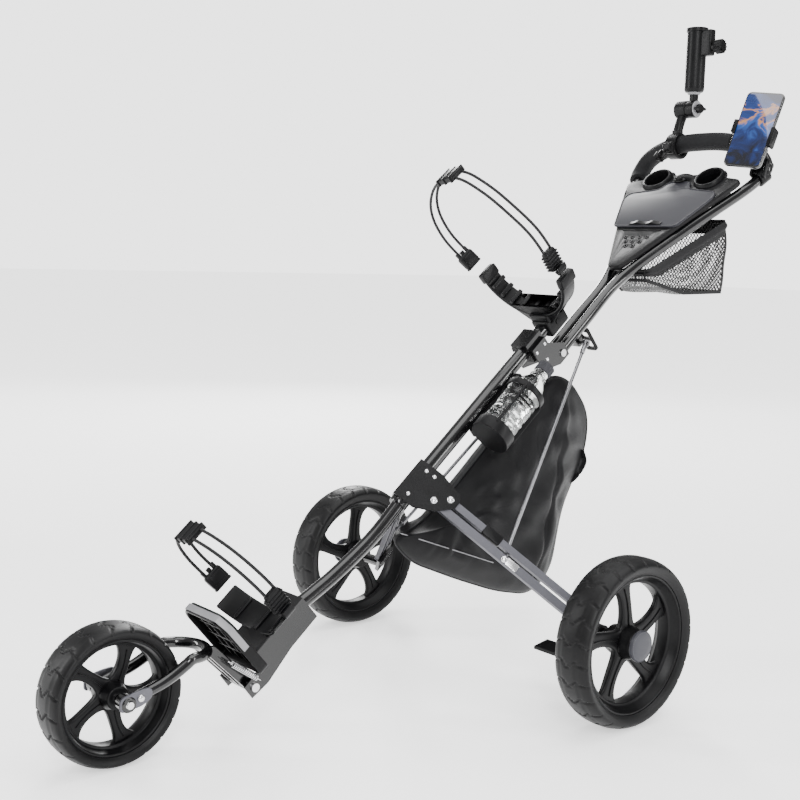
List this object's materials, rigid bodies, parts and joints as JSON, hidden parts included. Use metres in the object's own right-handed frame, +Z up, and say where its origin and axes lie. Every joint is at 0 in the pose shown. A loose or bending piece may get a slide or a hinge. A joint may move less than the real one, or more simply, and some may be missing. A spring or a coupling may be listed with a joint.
{
  "type": "golf push cart",
  "caption": "Folding three-wheel golf push cart with bag cradles, elastic bows, handle console, umbrella and phone holders, bottle cage and storage bag.",
  "frame": {"origin": "on the floor, midway along and across the cart's box with its wheels on the floor", "axes": "+Z up, the front wheel towards -Y, the cart's left side towards +X"},
  "size_m": [0.7222, 1.387, 1.15],
  "materials": {
    "black_paint": "gloss",
    "black_plastic": "satin",
    "grey_plastic": "satin",
    "tyre_rubber": "satin",
    "foam": "matte",
    "grey_metal": "brushed",
    "steel": "polished",
    "cloth": "woven",
    "smoked": "gloss",
    "clear": "clear",
    "screen": "gloss"
  },
  "bodies": {
    "frame": {"main_tube_upper": "black_paint", "main_tube_lower": "black_paint", "mid_bracket": "black_paint", "left_leg_rivets": "steel", "right_leg_rivets": "steel", "top_bracket": "black_paint", "handle_pivot": "steel", "upper_cradle": "black_plastic", "upper_bow_cords": "cloth", "upper_buckle": "black_plastic", "upper_hook": "black_plastic", "upper_slider": "black_plastic", "lower_bow_cords": "cloth", "lower_buckle": "black_plastic", "lower_hook": "black_plastic", "lower_slider": "black_plastic", "foot_bracket": "black_paint", "fork_pivot_pin": "steel", "base_cradle": "black_plastic", "foot_tray": "black_plastic", "fork_spring": "steel", "bottle_cage": "black_plastic", "storage_bag": "cloth"},
    "handle": {"handle_tube": "black_paint", "foam_grip": "foam", "console": "black_plastic", "mesh_bag": "cloth", "umbrella_clamp": "black_plastic", "phone_clamp": "black_plastic"},
    "lid": {"scorecard_lid": "smoked", "pencil_clip": "black_plastic"},
    "latch_button": {"lid_latch": "black_plastic"},
    "handle_lever": {"latch_lever": "black_plastic"},
    "umbrella_arm": {"umbrella_socket": "black_plastic"},
    "clamp_knob": {"umbrella_clamp_knob": "black_plastic"},
    "tilt_knob": {"umbrella_tilt_knob": "black_plastic"},
    "lock_knob": {"umbrella_lock_knob": "black_plastic"},
    "phone_cradle": {"phone_holder": "black_plastic"},
    "phone_body": {"phone": "screen"},
    "bottle_body": {"bottle": "clear"},
    "bottle_lid": {"bottle_cap": "grey_plastic"},
    "fork_arms": {"fork": "black_paint", "front_axle": "steel"},
    "front_roller": {"front_wheel_tyre": "tyre_rubber", "front_wheel_rim": "black_plastic"},
    "pedal": {"brake_pedal": "black_plastic"},
    "left_leg": {"left_lower_strut": "grey_metal"},
    "left_link": {"left_upper_strut": "grey_metal"},
    "left_knuckle": {"left_axle_knuckle": "black_paint"},
    "left_roller": {"left_wheel_tyre": "tyre_rubber", "left_wheel_rim": "black_plastic", "left_wheel_hub_cap": "grey_plastic"},
    "left_rod": {"left_push_rod": "steel"},
    "right_leg": {"right_lower_strut": "grey_metal"},
    "right_link": {"right_upper_strut": "grey_metal"},
    "right_knuckle": {"right_axle_knuckle": "black_paint"},
    "right_roller": {"right_wheel_tyre": "tyre_rubber", "right_wheel_rim": "black_plastic", "right_wheel_hub_cap": "grey_plastic"},
    "right_rod": {"right_push_rod": "steel"}
  },
  "joints": [
    {"name": "handle_fold", "type": "hinge", "parent": "frame", "child": "handle", "pos_m": [0, 0.25327, 0.53606], "axis": [1, 0, 0], "range_deg": [-156, 0], "deforming": ["storage_bag", "mesh_bag"]},
    {"name": "left_leg_fold", "type": "hinge", "parent": "frame", "child": "left_leg", "pos_m": [0.03677, -0.04983, 0.30738], "axis": [0.7071, -0.4592, 0.5377], "range_deg": [-66.6, 0]},
    {"name": "left_link_fold", "type": "hinge", "parent": "frame", "child": "left_link", "pos_m": [0.05112, -0.02682, 0.30815], "axis": [0.7071, -0.4592, 0.5377], "range_deg": [-66.6, 0]},
    {"name": "left_knuckle_turn", "type": "hinge", "parent": "left_leg", "child": "left_knuckle", "pos_m": [0.24054, 0.07229, 0.14371], "axis": [0.7071, -0.4592, 0.5377], "range_deg": [0, 66.6]},
    {"name": "left_wheel_spin", "type": "hinge", "parent": "left_knuckle", "child": "left_roller", "pos_m": [0.327, 0.084, 0.13], "axis": [1, 0, 0], "continuous": true},
    {"name": "left_rod_swing", "type": "hinge", "parent": "handle", "child": "left_rod", "pos_m": [0.027, 0.31118, 0.55172], "axis": [0.9972, 0.0627, 0.0419], "range_deg": [0, 151.01]},
    {"name": "right_leg_fold", "type": "hinge", "parent": "frame", "child": "right_leg", "pos_m": [-0.03677, -0.04983, 0.30738], "axis": [0.7071, 0.4592, -0.5377], "range_deg": [-66.6, 0]},
    {"name": "right_link_fold", "type": "hinge", "parent": "frame", "child": "right_link", "pos_m": [-0.05112, -0.02682, 0.30815], "axis": [0.7071, 0.4592, -0.5377], "range_deg": [-66.6, 0]},
    {"name": "right_knuckle_turn", "type": "hinge", "parent": "right_leg", "child": "right_knuckle", "pos_m": [-0.24054, 0.07229, 0.14371], "axis": [0.7071, 0.4592, -0.5377], "range_deg": [0, 66.6]},
    {"name": "right_wheel_spin", "type": "hinge", "parent": "right_knuckle", "child": "right_roller", "pos_m": [-0.327, 0.084, 0.13], "axis": [1, 0, 0], "continuous": true},
    {"name": "right_rod_swing", "type": "hinge", "parent": "handle", "child": "right_rod", "pos_m": [-0.027, 0.31118, 0.55172], "axis": [0.9972, -0.0627, -0.0419], "range_deg": [0, 151.01]},
    {"name": "fork_fold", "type": "hinge", "parent": "frame", "child": "fork_arms", "pos_m": [0, -0.38396, 0.07147], "axis": [1, 0, 0], "range_deg": [0, 188], "deforming": ["fork_spring"]},
    {"name": "front_wheel_spin", "type": "hinge", "parent": "fork_arms", "child": "front_roller", "pos_m": [0, -0.596, 0.098], "axis": [1, 0, 0], "continuous": true},
    {"name": "brake_press", "type": "hinge", "parent": "left_knuckle", "child": "pedal", "pos_m": [0.278, 0.084, 0.13], "axis": [1, 0, 0], "range_deg": [0, 20]},
    {"name": "lever_pull", "type": "hinge", "parent": "handle", "child": "handle_lever", "pos_m": [0, 0.32986, 0.57649], "axis": [1, 0, 0], "range_deg": [0, 25], "stiffness_Nm_per_rad": 0.5, "springref_deg": -11.46},
    {"name": "lid_open", "type": "hinge", "parent": "handle", "child": "lid", "pos_m": [0, 0.49058, 0.76018], "axis": [1, 0, 0], "range_deg": [0, 90]},
    {"name": "latch_press", "type": "slide", "parent": "lid", "child": "latch_button", "axis": [0, 0.7604, 0.6494], "range_m": [0, 0.004], "stiffness_N_per_m": 150, "springref_m": -0.002},
    {"name": "umbrella_tilt", "type": "hinge", "parent": "handle", "child": "umbrella_arm", "pos_m": [-0.062, 0.674, 0.996], "axis": [1, 0, 0], "range_deg": [-60, 60]},
    {"name": "clamp_knob_turn", "type": "hinge", "parent": "handle", "child": "clamp_knob", "pos_m": [-0.062, 0.607, 0.901], "axis": [0, 0.7023, 0.7118], "continuous": true},
    {"name": "tilt_knob_turn", "type": "hinge", "parent": "handle", "child": "tilt_knob", "pos_m": [-0.062, 0.674, 0.996], "axis": [1, 0, 0], "continuous": true},
    {"name": "lock_knob_turn", "type": "hinge", "parent": "umbrella_arm", "child": "lock_knob", "pos_m": [-0.002, 0.674, 1.11], "axis": [1, 0, 0], "continuous": true},
    {"name": "phone_tilt", "type": "hinge", "parent": "handle", "child": "phone_cradle", "pos_m": [0.14526, 0.63777, 0.88725], "axis": [0.982, 0.1506, -0.1142], "range_deg": [-20, 8]},
    {"name": "phone_lift", "type": "slide", "parent": "phone_cradle", "child": "phone_body", "axis": [0.0476, 0.3878, 0.9205], "range_m": [0, 0.08]},
    {"name": "bottle_lift", "type": "slide", "parent": "frame", "child": "bottle_body", "axis": [0, 0.7604, 0.6494], "range_m": [0, 0.1]},
    {"name": "bottle_lid_turn", "type": "hinge", "parent": "bottle_body", "child": "bottle_lid", "pos_m": [0.058, 0.16655, 0.50671], "axis": [0, 0.7604, 0.6494], "continuous": true}
  ],
  "couplings": [
    {"joint": "left_leg_fold", "follows": "handle_fold", "ratio": 0.42692},
    {"joint": "left_link_fold", "follows": "handle_fold", "ratio": 0.42692},
    {"joint": "left_knuckle_turn", "follows": "handle_fold", "ratio": -0.42692},
    {"joint": "left_rod_swing", "follows": "handle_fold", "ratio": -0.96799},
    {"joint": "right_leg_fold", "follows": "handle_fold", "ratio": 0.42692},
    {"joint": "right_link_fold", "follows": "handle_fold", "ratio": 0.42692},
    {"joint": "right_knuckle_turn", "follows": "handle_fold", "ratio": -0.42692},
    {"joint": "right_rod_swing", "follows": "handle_fold", "ratio": -0.96799}
  ]
}
